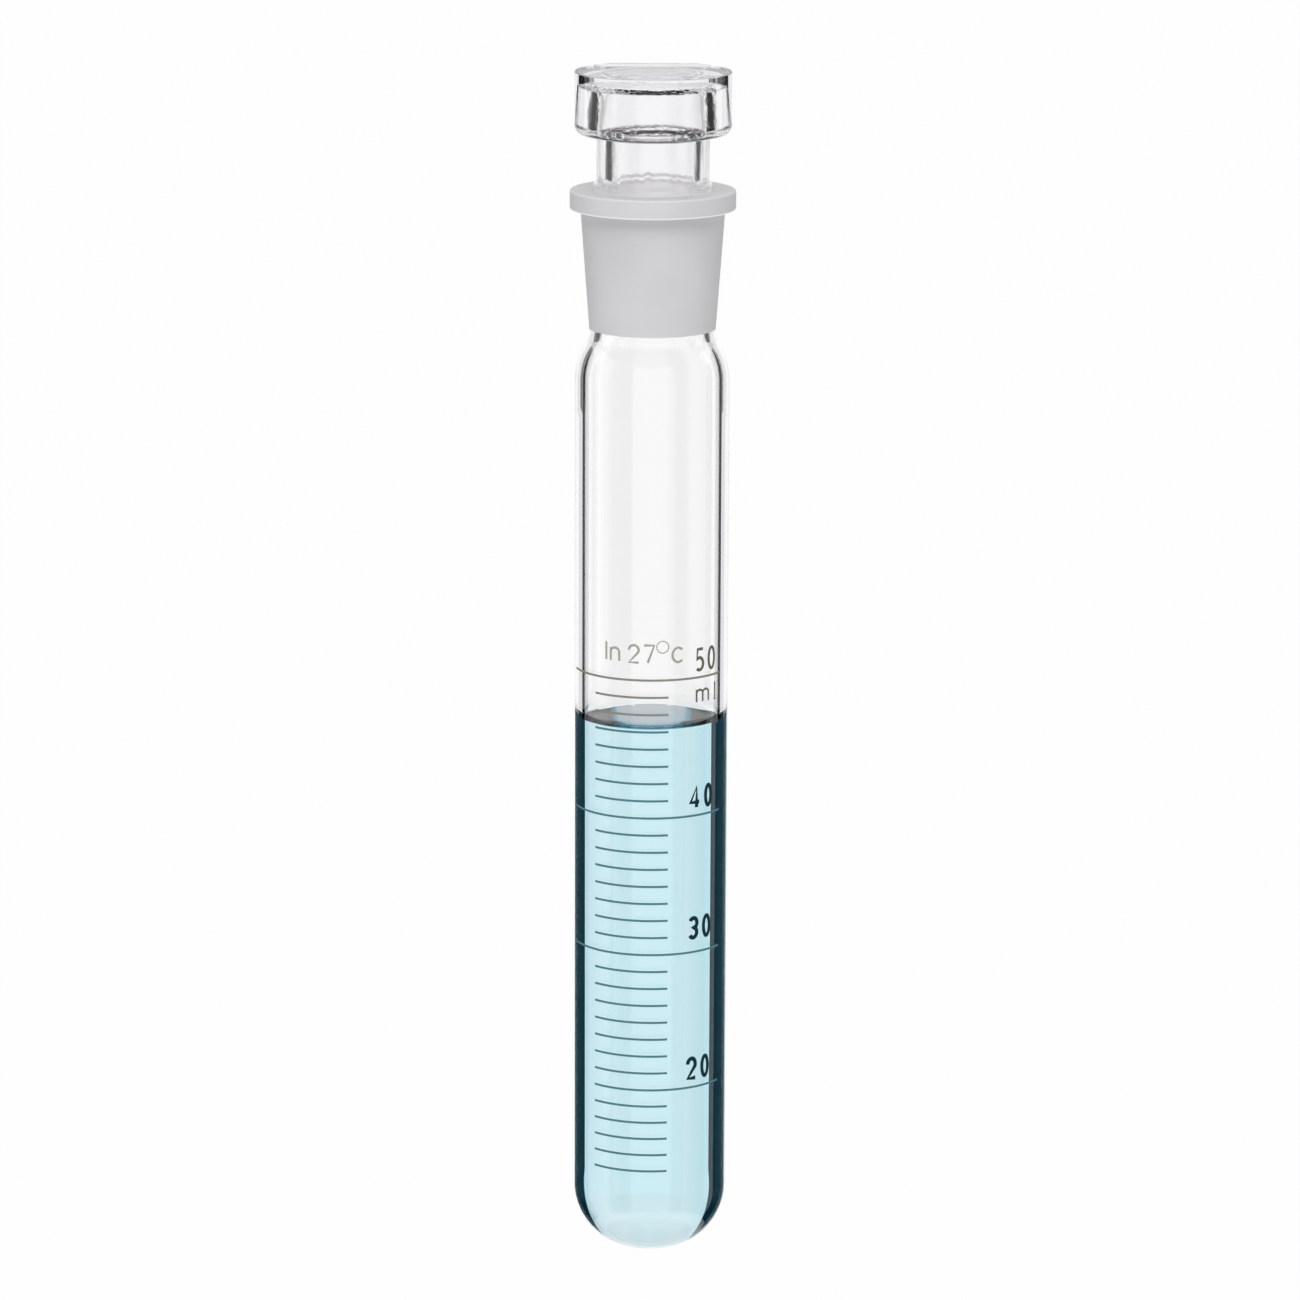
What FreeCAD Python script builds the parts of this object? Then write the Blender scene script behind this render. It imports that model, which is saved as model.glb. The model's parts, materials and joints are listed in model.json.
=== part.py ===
import FreeCAD, Part
import os
import Sketcher

# Graduated test tube with a ground socket and a hollow flat-head stopper.
# Millimetres, +Z up along the tube's axis, origin at the lowest point of the round bottom.
# The scale faces -Y. Angles on the wall are counted from the front, positive to the right.

document = FreeCAD.newDocument("GraduatedTestTube")

# Driving dimensions

SIZES = [
    ("tube_diameter", 28.0, "outside of the straight glass wall"),
    ("tube_height", 198.6, "bottom pole to the top of the rim"),
    ("wall", 1.8, "glass thickness of wall and bottom"),
    ("crown_radius", 16.8, "outside of the round bottom, near the axis"),
    ("knuckle_radius", 11.8, "outside of the round bottom, where it turns up into the wall"),
    ("shoulder_height", 9.6, "blown shoulder between wall and socket"),
    ("shoulder_curve", 13.5, "outside of the shoulder, where it leaves the wall"),
    ("joint_diameter", 21.3, "ground bore at its mouth"),
    ("joint_taper", 10.0, "length over which the joint's diameter changes by one"),
    ("joint_length", 25.2, "ground bore, mouth to small end"),
    ("neck_wall", 2.06, "glass round the small end of the bore"),
    ("mouth_wall", 2.4, "glass round the bore, just under the rim"),
    ("rim_overhang", 1.95, "flanged rim, out past the glass under it"),
    ("rim_thickness", 3.5, "flanged rim, top to underside"),
    ("rim_bevel", 0.6, "edges of the rim"),
    ("joint_gap", 0.05, "between ground plug and ground bore, on the radius"),
    ("plug_depth", 23.0, "plug below the mouth"),
    ("plug_proud", 1.0, "ground part of the plug above the mouth"),
    ("plug_tip_bevel", 1.6, "edge of the plug's closed tip"),
    ("stem_step", 0.35, "from the ground plug in to the stem, on the radius"),
    ("stem_slope", 0.6, "height of that step"),
    ("grip_gap", 10.0, "mouth to the underside of the head"),
    ("head_overhang", 3.85, "flat head, out past the stem"),
    ("head_height", 11.4, "flat head, underside to top"),
    ("head_top_bevel", 0.5, "upper edge of the head"),
    ("head_base_round", 1.7, "lower edge of the head"),
    ("stem_wall", 2.75, "glass round the stopper's hollow, in the stem"),
    ("tip_wall", 2.4, "glass under the stopper's hollow"),
    ("head_wall_base", 4.6, "glass round the hollow, at the bottom of the head"),
    ("head_wall_top", 5.0, "the same, at the top of the head"),
    ("head_roof", 1.9, "glass over the stopper's hollow"),
    ("head_floor", 1.8, "glass under the wide part of the hollow"),
    ("hollow_bevel", 0.9, "inner edges of the head's hollow"),
    ("liquid_level", 101.2, "flat middle of the liquid's surface"),
    ("meniscus_rise", 1.9, "climb of the surface at the wall"),
    ("meniscus_radius", 2.2, "curve of the surface at the wall"),
    ("lowest_long_line", 34.1, "height of the lowest long line"),
    ("tick_pitch", 3.21, "from one graduation to the next"),
    ("low_tick_pitch", 3.1, "the same, below the lowest long line"),
    ("tick_count", 7, "short ticks between two long lines"),
    ("low_tick_count", 5, "short ticks below the lowest long line"),
    ("line_width", 0.4, "printed line, along the tube"),
    ("line_rise", 0.05, "enamel thickness on the glass"),
    ("tick_left", -46.0, "left end of ticks and of the lowest long line, in degrees"),
    ("tick_right", 13.0, "right end of ticks, in degrees"),
    ("line_left", -76.0, "left end of the other long lines, in degrees"),
    ("line_right", 62.0, "right end of the long lines, in degrees"),
]

sheet = document.addObject("Spreadsheet::Sheet", "Sizes")
for row, (alias, size, meaning) in enumerate(SIZES, start=1):
    sheet.set(f"A{row}", meaning)
    sheet.set(f"B{row}", str(size))
    sheet.setAlias(f"B{row}", alias)
document.recompute()

# Places that follow from the dimensions

TUBE_RADIUS = "Sizes.tube_diameter / 2"
NECK_HEIGHT = "Sizes.tube_height - Sizes.joint_length"
SHOULDER_BASE = f"{NECK_HEIGHT} - Sizes.shoulder_height"
RIM_BASE = "Sizes.tube_height - Sizes.rim_thickness"
BORE_END_RADIUS = "(Sizes.joint_diameter - Sizes.joint_length / Sizes.joint_taper) / 2"
NECK_RADIUS = f"{BORE_END_RADIUS} + Sizes.neck_wall"
SOCKET_RADIUS = "Sizes.joint_diameter / 2 + Sizes.mouth_wall"
RIM_RADIUS = f"{SOCKET_RADIUS} + Sizes.rim_overhang"
PLUG_TIP = "Sizes.tube_height - Sizes.plug_depth"
PLUG_TIP_RADIUS = (
    "(Sizes.joint_diameter - Sizes.plug_depth / Sizes.joint_taper) / 2 - Sizes.joint_gap")
PLUG_TOP = "Sizes.tube_height + Sizes.plug_proud"
PLUG_TOP_RADIUS = (
    "(Sizes.joint_diameter + Sizes.plug_proud / Sizes.joint_taper) / 2 - Sizes.joint_gap")
STEM_RADIUS = f"{PLUG_TOP_RADIUS} - Sizes.stem_step"
STEM_HOLLOW_RADIUS = f"{STEM_RADIUS} - Sizes.stem_wall"
HEAD_RADIUS = f"{STEM_RADIUS} + Sizes.head_overhang"
HEAD_BASE = "Sizes.tube_height + Sizes.grip_gap"
HEAD_TOP = f"{HEAD_BASE} + Sizes.head_height"
HOLLOW_TIP = f"{PLUG_TIP} + Sizes.tip_wall"
HOLLOW_FLOOR = f"{HEAD_BASE} + Sizes.head_floor"
HOLLOW_ROOF = f"{HEAD_TOP} - Sizes.head_roof"
LONG_PITCH = "Sizes.tick_pitch * (Sizes.tick_count + 1)"

CENTRE_LINE = "0"
MATCH = 1e-4


def value(expression):
    """The number that an expression on the sheet has now."""
    return float(sheet.evalExpression(expression.replace("Sizes.", "")))


def spot(radius, height):
    """A point of a half section, from two expressions."""
    return FreeCAD.Vector(value(radius), value(height), 0)


class Section:
    """A closed half section on the XZ plane: sketch x is the radius, sketch y the height.

    The outline runs anticlockwise from its first point. Each call adds one edge, joins it to
    the open end and ties it to the sheet, until the sketch has no freedom left.
    """

    START, END, MIDDLE = range(1, 4)

    def __init__(self, body, name, radius, height):
        self.sketch = body.newObject("Sketcher::SketchObject", name)
        plane = next(part for part in body.Origin.OriginFeatures if part.Role == "XZ_Plane")
        self.sketch.AttachmentSupport = (plane, [""])
        self.sketch.MapMode = "FlatFace"
        self.first = (radius, height)
        self.here = spot(radius, height)
        self.open_end = None
        self.dimensions = 0

    def rule(self, kind, *places):
        self.sketch.addConstraint(Sketcher.Constraint(kind, *places))

    def size(self, kind, places, expression):
        """A dimension that the sheet drives."""
        constraint = Sketcher.Constraint(kind, *places, value(expression))
        index = self.sketch.addConstraint(constraint)
        self.dimensions += 1
        self.sketch.renameConstraint(index, f"size_{self.dimensions}")
        self.sketch.setExpression(f"Constraints.size_{self.dimensions}", expression)

    def place(self, edge, point, radius, height):
        """Holds one point at its radius and height, or on the axis."""
        if radius == CENTRE_LINE:
            self.rule("PointOnObject", edge, point, -2)
        else:
            self.size("DistanceX", (-1, 1, edge, point), radius)
        if height == CENTRE_LINE:
            self.rule("PointOnObject", edge, point, -1)
        else:
            self.size("DistanceY", (-1, 1, edge, point), height)

    def add(self, curve, near, far, smooth=False):
        """Adds an edge whose near point meets the open end, smoothly if asked."""
        edge = self.sketch.addGeometry(curve, False)
        if self.open_end is None:
            self.place(edge, near, *self.first)
        else:
            self.rule("Tangent" if smooth else "Coincident", *self.open_end, edge, near)
        self.open_end = (edge, far)
        return edge

    def line(self, radius, height, smooth=False):
        """A straight edge to a point."""
        target = spot(radius, height)
        edge = self.add(Part.LineSegment(self.here, target), self.START, self.END, smooth)
        self.here = target
        if smooth:
            self.rule("Vertical", edge)
        self.place(edge, self.END, radius, height)
        return edge

    def arc(self, centre, target, bulges=True, smooth=False):
        """An arc to a point. One that bulges out of the section runs anticlockwise."""
        circle = Part.Circle(centre, FreeCAD.Vector(0, 0, 1), (target - centre).Length)
        ends = [circle.parameter(self.here), circle.parameter(target)]
        near, far = self.START, self.END
        if not bulges:
            ends.reverse()
            near, far = far, near
        edge = self.add(Part.ArcOfCircle(circle, *ends), near, far, smooth)
        self.here = target
        return edge

    def close(self):
        """The edge back to the first point."""
        start = spot(*self.first)
        edge = self.add(Part.LineSegment(self.here, start), self.START, self.END)
        self.rule("Coincident", edge, self.END, 0, self.START)


def draw_round_bottom_and_wall(section, inset, wall_top):
    """Crown, knuckle and straight wall of the outer surface, or of one that lies inset in it."""
    crown = value(f"Sizes.crown_radius - {inset}")
    knuckle = value(f"Sizes.knuckle_radius - {inset}")
    wall_radius = f"{TUBE_RADIUS} - {inset}"
    reach = value(wall_radius) - knuckle
    drop = ((crown - knuckle) ** 2 - reach ** 2) ** 0.5
    crown_centre = section.here + FreeCAD.Vector(0, crown, 0)
    knuckle_centre = crown_centre + FreeCAD.Vector(reach, -drop, 0)
    meeting = crown_centre + (knuckle_centre - crown_centre).normalize() * crown

    edge = section.arc(crown_centre, meeting)
    section.rule("PointOnObject", edge, section.MIDDLE, -2)
    section.size("Radius", (edge,), f"Sizes.crown_radius - {inset}")
    edge = section.arc(knuckle_centre, knuckle_centre + FreeCAD.Vector(knuckle, 0, 0), smooth=True)
    section.size("Radius", (edge,), f"Sizes.knuckle_radius - {inset}")
    section.line(wall_radius, wall_top, smooth=True)


def draw_shoulder(section, neck_radius, curve):
    """Two arcs in an S, upright at both ends, from the wall in to the neck."""
    neck = spot(neck_radius, NECK_HEIGHT)
    reach = neck - section.here
    both = reach.Length ** 2 / (-2 * reach.x)
    lower_radius = value(curve)
    meeting = section.here + reach * (lower_radius / both)
    lower_centre = section.here - FreeCAD.Vector(lower_radius, 0, 0)
    upper_centre = neck + FreeCAD.Vector(both - lower_radius, 0, 0)
    lower = section.arc(lower_centre, meeting, smooth=True)
    section.size("Radius", (lower,), curve)
    upper = section.arc(upper_centre, neck, bulges=False, smooth=True)
    section.rule("Horizontal", upper, section.MIDDLE, *section.open_end)
    section.place(*section.open_end, neck_radius, NECK_HEIGHT)


def draw_meniscus(section):
    """The liquid's surface: down the curve at the wall, then flat to the axis."""
    curve = value("Sizes.meniscus_radius")
    rise = value("Sizes.meniscus_rise")
    width = (2 * curve * rise - rise ** 2) ** 0.5
    flat_edge = section.here - FreeCAD.Vector(width, rise, 0)
    edge = section.arc(flat_edge + FreeCAD.Vector(0, curve, 0), flat_edge, bulges=False)
    section.size("Radius", (edge,), "Sizes.meniscus_radius")
    section.rule("Vertical", *section.open_end, edge, section.MIDDLE)
    section.size("DistanceY", (-1, 1, *section.open_end), "Sizes.liquid_level")
    section.line(CENTRE_LINE, "Sizes.liquid_level")


def new_body(name, separate_solids=False):
    """One sub-part. Only the printed scale is made of separate solids."""
    body = document.addObject("PartDesign::Body", name)
    body.Label = name
    body.AllowCompound = separate_solids
    body.Placement = FreeCAD.Placement()
    return body


def turn(body, section, kind, name):
    """A Revolution that adds the section all round the axis, or a Groove that cuts it."""
    feature = body.newObject(f"PartDesign::{kind}", name)
    feature.Profile = section.sketch
    feature.ReferenceAxis = (section.sketch, ["V_Axis"])
    feature.Angle = 360
    document.recompute()
    return feature


def dress_edges(body, base, kind, name, alias, corners):
    """A Fillet or a Chamfer on the circular edges that pass through corners of the section."""
    places = [spot(*corner) for corner in corners]
    chosen = []
    for number, edge in enumerate(base.Shape.Edges, start=1):
        if edge.Degenerated or not isinstance(edge.Curve, Part.Circle):
            continue
        for place in places:
            off = (edge.Curve.Radius - place.x, edge.Curve.Center.z - place.y)
            if max(abs(off[0]), abs(off[1])) < MATCH:
                chosen.append(f"Edge{number}")
    dressing = body.newObject(f"PartDesign::{kind}", name)
    dressing.Base = (base, chosen)
    dressing.setExpression("Radius" if kind == "Fillet" else "Size", f"Sizes.{alias}")
    document.recompute()
    return dressing


# Tube: one piece of blown glass with a round bottom, a shoulder and a ground socket

tube = new_body("tube")

outside = Section(tube, "tube_outside", CENTRE_LINE, CENTRE_LINE)
draw_round_bottom_and_wall(outside, "0", SHOULDER_BASE)
draw_shoulder(outside, NECK_RADIUS, "Sizes.shoulder_curve")
outside.line(SOCKET_RADIUS, RIM_BASE)
outside.line(RIM_RADIUS, RIM_BASE)
outside.line(RIM_RADIUS, "Sizes.tube_height")
outside.line(CENTRE_LINE, "Sizes.tube_height")
outside.close()
blank = turn(tube, outside, "Revolution", "tube_blank")

rim_edges = [(RIM_RADIUS, RIM_BASE), (RIM_RADIUS, "Sizes.tube_height")]
dress_edges(tube, blank, "Chamfer", "rim_edges", "rim_bevel", rim_edges)

inside = Section(tube, "tube_inside", CENTRE_LINE, "Sizes.wall")
draw_round_bottom_and_wall(inside, "Sizes.wall", SHOULDER_BASE)
draw_shoulder(inside, BORE_END_RADIUS, "Sizes.shoulder_curve - Sizes.wall")
inside.line("Sizes.joint_diameter / 2", "Sizes.tube_height")
inside.line(CENTRE_LINE, "Sizes.tube_height")
inside.close()
hollow = turn(tube, inside, "Groove", "tube_hollow")
tube.Tip = hollow

# Liquid: fills the round bottom and climbs a little at the glass

liquid = new_body("liquid")

filling = Section(liquid, "liquid_section", CENTRE_LINE, "Sizes.wall")
draw_round_bottom_and_wall(filling, "Sizes.wall", "Sizes.liquid_level + Sizes.meniscus_rise")
draw_meniscus(filling)
filling.close()
liquid.Tip = turn(liquid, filling, "Revolution", "liquid_filling")

# Stopper: one piece of blown glass, hollow from its closed tip up into its flat head

stopper = new_body("stopper")

form = Section(stopper, "stopper_outside", CENTRE_LINE, PLUG_TIP)
form.line(PLUG_TIP_RADIUS, PLUG_TIP)
form.line(PLUG_TOP_RADIUS, PLUG_TOP)
form.line(STEM_RADIUS, f"{PLUG_TOP} + Sizes.stem_slope")
form.line(STEM_RADIUS, HEAD_BASE)
form.line(HEAD_RADIUS, HEAD_BASE)
form.line(HEAD_RADIUS, HEAD_TOP)
form.line(CENTRE_LINE, HEAD_TOP)
form.close()
solid = turn(stopper, form, "Revolution", "stopper_blank")
solid = dress_edges(stopper, solid, "Chamfer", "tip_edge", "plug_tip_bevel",
                    [(PLUG_TIP_RADIUS, PLUG_TIP)])
solid = dress_edges(stopper, solid, "Fillet", "head_base_edge", "head_base_round",
                    [(HEAD_RADIUS, HEAD_BASE)])
solid = dress_edges(stopper, solid, "Chamfer", "head_top_edge", "head_top_bevel",
                    [(HEAD_RADIUS, HEAD_TOP)])

hollow_base = (f"{HEAD_RADIUS} - Sizes.head_wall_base", HOLLOW_FLOOR)
hollow_top = (f"{HEAD_RADIUS} - Sizes.head_wall_top", HOLLOW_ROOF)
cavity = Section(stopper, "stopper_hollow", CENTRE_LINE, HOLLOW_TIP)
cavity.line(STEM_HOLLOW_RADIUS, HOLLOW_TIP)
cavity.line(STEM_HOLLOW_RADIUS, HOLLOW_FLOOR)
cavity.line(*hollow_base)
cavity.line(*hollow_top)
cavity.line(CENTRE_LINE, HOLLOW_ROOF)
cavity.close()
blown = turn(stopper, cavity, "Groove", "blown_hollow")
stopper.Tip = dress_edges(stopper, blown, "Chamfer", "hollow_edges", "hollow_bevel",
                          [hollow_base, hollow_top])

# Printed scale: enamel lines fused on the outside of the wall, short ticks and long lines


def print_lines(body, name, height, left, right, pitch, count):
    """A row of enamel lines, each an arc of the wall from the left to the right angle."""
    low = f"{height} - Sizes.line_width / 2"
    high = f"{height} + Sizes.line_width / 2"
    band = Section(body, f"{name}_section", TUBE_RADIUS, low)
    band.line(f"{TUBE_RADIUS} + Sizes.line_rise", low)
    band.line(f"{TUBE_RADIUS} + Sizes.line_rise", high)
    band.line(TUBE_RADIUS, high)
    band.close()
    axis = FreeCAD.Vector(0, 1, 0)
    start = FreeCAD.Rotation(axis, value(f"{left} - 90"))
    band.sketch.AttachmentOffset = FreeCAD.Placement(FreeCAD.Vector(), start)
    band.sketch.setExpression("AttachmentOffset.Rotation.Angle", f"{left} - 90")
    line = turn(body, band, "Revolution", name)
    line.setExpression("Angle", f"{right} - {left}")
    body.Tip = line
    document.recompute()
    if count is None:
        return
    row = body.newObject("PartDesign::LinearPattern", f"{name}_row")
    row.Originals = [line]
    row.Direction = (band.sketch, ["V_Axis"])
    row.Occurrences = int(value(count))
    row.setExpression("Occurrences", count)
    row.setExpression("Length", f"{pitch} * ({count} - 1)")
    body.Tip = row
    document.recompute()


short_ticks = new_body("short_ticks", separate_solids=True)
low_start = "Sizes.lowest_long_line - Sizes.low_tick_pitch * Sizes.low_tick_count"
print_lines(short_ticks, "ticks_under_20", low_start, "Sizes.tick_left", "Sizes.tick_right",
            "Sizes.low_tick_pitch", "Sizes.low_tick_count")
for decade in range(3):
    above = f"Sizes.lowest_long_line + {LONG_PITCH} * {decade} + Sizes.tick_pitch"
    print_lines(short_ticks, f"ticks_over_{20 + 10 * decade}", above, "Sizes.tick_left",
                "Sizes.tick_right", "Sizes.tick_pitch", "Sizes.tick_count")

long_lines = new_body("long_lines", separate_solids=True)
print_lines(long_lines, "line_20", "Sizes.lowest_long_line", "Sizes.tick_left",
            "Sizes.line_right", None, None)
for decade in (1, 2, 3):
    height = f"Sizes.lowest_long_line + {LONG_PITCH} * {decade}"
    print_lines(long_lines, f"line_{20 + 10 * decade}", height, "Sizes.line_left",
                "Sizes.line_right", None, None)

document.recompute()

# Every feature must have worked before anything is written

bodies = [tube, liquid, stopper, short_ticks, long_lines]
for item in document.Objects:
    if "Invalid" in item.State or "Error" in item.State:
        raise RuntimeError(f"{item.Name} failed: {item.State}")
    if item.isDerivedFrom("Sketcher::SketchObject") and item.solve() != 0:
        raise RuntimeError(f"{item.Name} can't be solved")
for body in bodies:
    if body.Shape.isNull() or not body.Shape.isValid():
        raise RuntimeError(f"{body.Label} has no valid shape")

os.makedirs("parts", exist_ok=True)
for body in bodies:
    body.Shape.exportStep(f"parts/{body.Label}.step")
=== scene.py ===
# %% [markdown]
# # A graduated test tube with a ground glass stopper
#
# The tube is blown from clear borosilicate glass: a round bottom, a straight wall, a shoulder, and
# a ground socket with a flanged rim. A hollow glass stopper with a flat head sits in the socket.
# The tube holds a pale blue liquid, and a scale from 20 to 50 millilitres is printed on it.
#
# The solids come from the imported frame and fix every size. This lesson gives them their looks:
# clear glass that bends light as the real wall does, frost where the glass is ground, a liquid
# with a curved surface, enamel print, and a studio that makes clear glass readable on white.

# %% Load the frame
import json
from math import ceil, cos, pi, radians, sin, sqrt, tan, tau

import bmesh
import bpy
from mathutils import Matrix, Vector


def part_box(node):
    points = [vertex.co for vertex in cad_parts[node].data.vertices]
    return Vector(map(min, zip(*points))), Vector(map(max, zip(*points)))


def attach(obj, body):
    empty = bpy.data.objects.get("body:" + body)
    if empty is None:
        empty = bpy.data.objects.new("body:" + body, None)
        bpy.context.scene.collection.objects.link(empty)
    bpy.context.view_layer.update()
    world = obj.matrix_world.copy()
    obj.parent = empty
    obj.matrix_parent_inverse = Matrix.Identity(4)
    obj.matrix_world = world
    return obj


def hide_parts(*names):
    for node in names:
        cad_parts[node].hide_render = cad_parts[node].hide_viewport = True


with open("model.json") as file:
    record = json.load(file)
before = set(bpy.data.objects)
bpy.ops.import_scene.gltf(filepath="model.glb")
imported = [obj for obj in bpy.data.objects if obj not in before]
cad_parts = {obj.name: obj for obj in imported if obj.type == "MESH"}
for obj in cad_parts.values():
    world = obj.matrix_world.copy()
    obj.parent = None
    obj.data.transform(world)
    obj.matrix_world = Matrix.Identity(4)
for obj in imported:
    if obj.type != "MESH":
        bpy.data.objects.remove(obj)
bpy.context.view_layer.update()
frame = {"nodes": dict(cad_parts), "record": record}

MM = 0.001
print("nodes:", sorted(frame["nodes"]))

# %% [markdown]
# ## Sizes
#
# The large sizes are read from the frame's nodes, so that the glass in this scene can't drift
# from the solids. Only what the nodes' boxes don't say is written here: the curves of bottom and
# shoulder, the lengths along the joint, and the inside of the stopper. Everything is in metres,
# +Z runs up the tube, and the printed scale faces -Y.

# %% Read the large sizes from the frame
rack_hole = next(m for m in frame["record"]["mounts"] if m["name"] == "rack_hole")
TUBE_RADIUS = rack_hole["dims"]["r_mm"] * MM
RIM_RADIUS = min(abs(side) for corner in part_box("tube") for side in corner.xy)
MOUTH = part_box("tube")[1].z
BORE_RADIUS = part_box("liquid")[1].x
CONTACT_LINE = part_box("liquid")[1].z
HEAD_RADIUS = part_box("stopper")[1].x
PLUG_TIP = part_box("stopper")[0].z
HEAD_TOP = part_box("stopper")[1].z
WALL = TUBE_RADIUS - BORE_RADIUS

for name, size in [("tube radius", TUBE_RADIUS), ("rim radius", RIM_RADIUS), ("mouth", MOUTH),
                   ("bore radius", BORE_RADIUS), ("contact line", CONTACT_LINE),
                   ("head radius", HEAD_RADIUS), ("plug tip", PLUG_TIP), ("top", HEAD_TOP)]:
    print(f"{name}: {size / MM:.2f} mm")

# %% Name the sizes that the boxes don't say
CROWN_RADIUS = 16.8 * MM
KNUCKLE_RADIUS = 11.8 * MM
JOINT_LENGTH = 25.2 * MM
SHOULDER_HEIGHT = 9.6 * MM
SHOULDER_CURVE = 13.5 * MM
JOINT_TAPER = 10.0
JOINT_RADIUS = 10.65 * MM
JOINT_GAP = 0.05 * MM
NECK_WALL = 2.06 * MM
SOCKET_WALL = 2.4 * MM
RIM_THICKNESS = 3.5 * MM
RIM_ROUND = 0.35 * MM
MOUTH_ROUND = 0.25 * MM
SOCKET_ROUND = 0.4 * MM
MENISCUS_RISE = 1.7 * MM
MENISCUS_CURVE = 1.85 * MM

NECK_HEIGHT = MOUTH - JOINT_LENGTH
SHOULDER_BASE = NECK_HEIGHT - SHOULDER_HEIGHT
RIM_BASE = MOUTH - RIM_THICKNESS
BORE_END_RADIUS = JOINT_RADIUS - JOINT_LENGTH / JOINT_TAPER / 2
NECK_RADIUS = BORE_END_RADIUS + NECK_WALL
SOCKET_RADIUS = JOINT_RADIUS + SOCKET_WALL
print(f"neck {NECK_RADIUS / MM:.2f} mm, socket {SOCKET_RADIUS / MM:.2f} mm in radius")

# %% [markdown]
# ## A half section that is drawn and spun
#
# Blown and turned glass is round, so each piece is one half section, spun once round the axis.
# The section could be typed in as a list of points. Here it is drawn as one would in edit mode:
# a single vertex is extruded along the straight stretches and spun about an arc's centre for the
# round ones, so each radius stays a real radius. A glass wall is one closed outline, up the
# outside, over the rim and down the inside, because light has to enter and leave a closed solid.

# %% A small class that draws half sections
ARC_STEP = radians(5)
FACETS = 192
WELD = 0.001 * MM


class HalfSection:
    """One vertex in edit mode, drawn out along a section: x is the radius, z the height."""

    def __init__(self, name, radius, height):
        bpy.ops.object.select_all(action="DESELECT")
        bpy.ops.mesh.primitive_plane_add(size=MM)
        self.piece = bpy.context.object
        self.piece.name = name
        self.piece.data.name = name
        bpy.ops.object.mode_set(mode="EDIT")
        bpy.ops.mesh.merge(type="CENTER")
        bpy.ops.transform.translate(value=(radius, 0, height))
        self.here = Vector((radius, 0, height))

    def line(self, radius, height, steps=1):
        """Straight to a point, in equal steps."""
        end = Vector((radius, 0, height))
        stride = (end - self.here) / steps
        for _ in range(steps):
            bpy.ops.mesh.extrude_vertices_move(TRANSFORM_OT_translate={"value": stride})
        self.here = end

    def arc(self, centre, end):
        """Round a centre to an end point, the short way."""
        centre = Vector((centre[0], 0, centre[1]))
        end = Vector((end[0], 0, end[1]))
        start_arm = (self.here - centre).xz
        turn = start_arm.angle_signed((end - centre).xz)
        steps = max(2, ceil(abs(turn) / ARC_STEP))
        bpy.ops.mesh.spin(steps=steps, angle=-turn, center=centre, axis=(0, 1, 0))
        self.here = end

    def corners(self, *corners, steps=1):
        """Straight from corner to corner. Each is (radius, height, rounding), the last not rounded."""
        points = [Vector((radius, height)) for radius, height, _ in corners]
        before = self.here.xz
        for index, (radius, height, rounding) in enumerate(corners):
            corner = points[index]
            if rounding == 0:
                self.line(corner.x, corner.y, steps)
            else:
                inward = (corner - before).normalized()
                onward = (points[index + 1] - corner).normalized()
                turn = inward.angle(onward)
                back = rounding * tan(turn / 2)
                start, end = corner - inward * back, corner + onward * back
                side = (onward - inward).normalized()
                centre = corner + side * rounding / cos(turn / 2)
                self.line(start.x, start.y, steps)
                self.arc(centre, end)
            before = corner

    def lathe(self):
        """Spins the section into a closed solid and leaves edit mode."""
        bpy.ops.mesh.select_all(action="SELECT")
        bpy.ops.mesh.spin(steps=FACETS, angle=tau, center=(0, 0, 0), axis=(0, 0, 1))
        bpy.ops.mesh.select_all(action="SELECT")
        bpy.ops.mesh.remove_doubles(threshold=WELD)
        bpy.ops.mesh.normals_make_consistent(inside=False)
        bpy.ops.object.mode_set(mode="OBJECT")
        bpy.ops.object.shade_smooth_by_angle(angle=radians(40))
        return self.piece


def report_piece(piece):
    """Prints how many faces a closed piece has, and how much it holds or weighs."""
    mesh = bmesh.new()
    mesh.from_mesh(piece.data)
    volume = mesh.calc_volume(signed=True) / MM ** 3 / 1000
    open_edges = sum(1 for edge in mesh.edges if len(edge.link_faces) != 2)
    print(f"{piece.name}: {len(mesh.faces)} faces, {volume:.2f} cm3, {open_edges} open edges")
    mesh.free()


# %% [markdown]
# ## The tube
#
# The round bottom is not a half ball: its crown is flatter and its knuckle tighter, so it is two
# arcs that meet smoothly. The shoulder is two arcs in an S, the lower one larger. The inner surface
# repeats both, one wall thickness further in, and the ground bore is a cone of 1 in 10.

# %% Arcs that the outside, the bore and the liquid share


def bottom_arcs(inset):
    """Centres and meeting point of crown and knuckle, for a surface inset in the outer one."""
    crown, knuckle = CROWN_RADIUS - inset, KNUCKLE_RADIUS - inset
    reach = TUBE_RADIUS - KNUCKLE_RADIUS
    drop = sqrt((crown - knuckle) ** 2 - reach ** 2)
    crown_centre = Vector((0, CROWN_RADIUS))
    knuckle_centre = crown_centre + Vector((reach, -drop))
    meeting = crown_centre + (knuckle_centre - crown_centre).normalized() * crown
    return crown_centre, knuckle_centre, meeting


def shoulder_arcs(wall_radius, neck_radius, low):
    """Centres and meeting point of the two arcs between wall and neck. Low is the lower radius."""
    inward = wall_radius - neck_radius
    both = (inward ** 2 + SHOULDER_HEIGHT ** 2) / (2 * inward)
    share = low / both
    low_centre = (wall_radius - low, SHOULDER_BASE)
    high_centre = (neck_radius + both - low, NECK_HEIGHT)
    meeting = (wall_radius - inward * share, SHOULDER_BASE + SHOULDER_HEIGHT * share)
    return low_centre, high_centre, meeting


crown_centre, knuckle_centre, meeting = bottom_arcs(0)
WALL_START = knuckle_centre.y
print(f"straight wall from {WALL_START / MM:.2f} to {SHOULDER_BASE / MM:.2f} mm")

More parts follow.
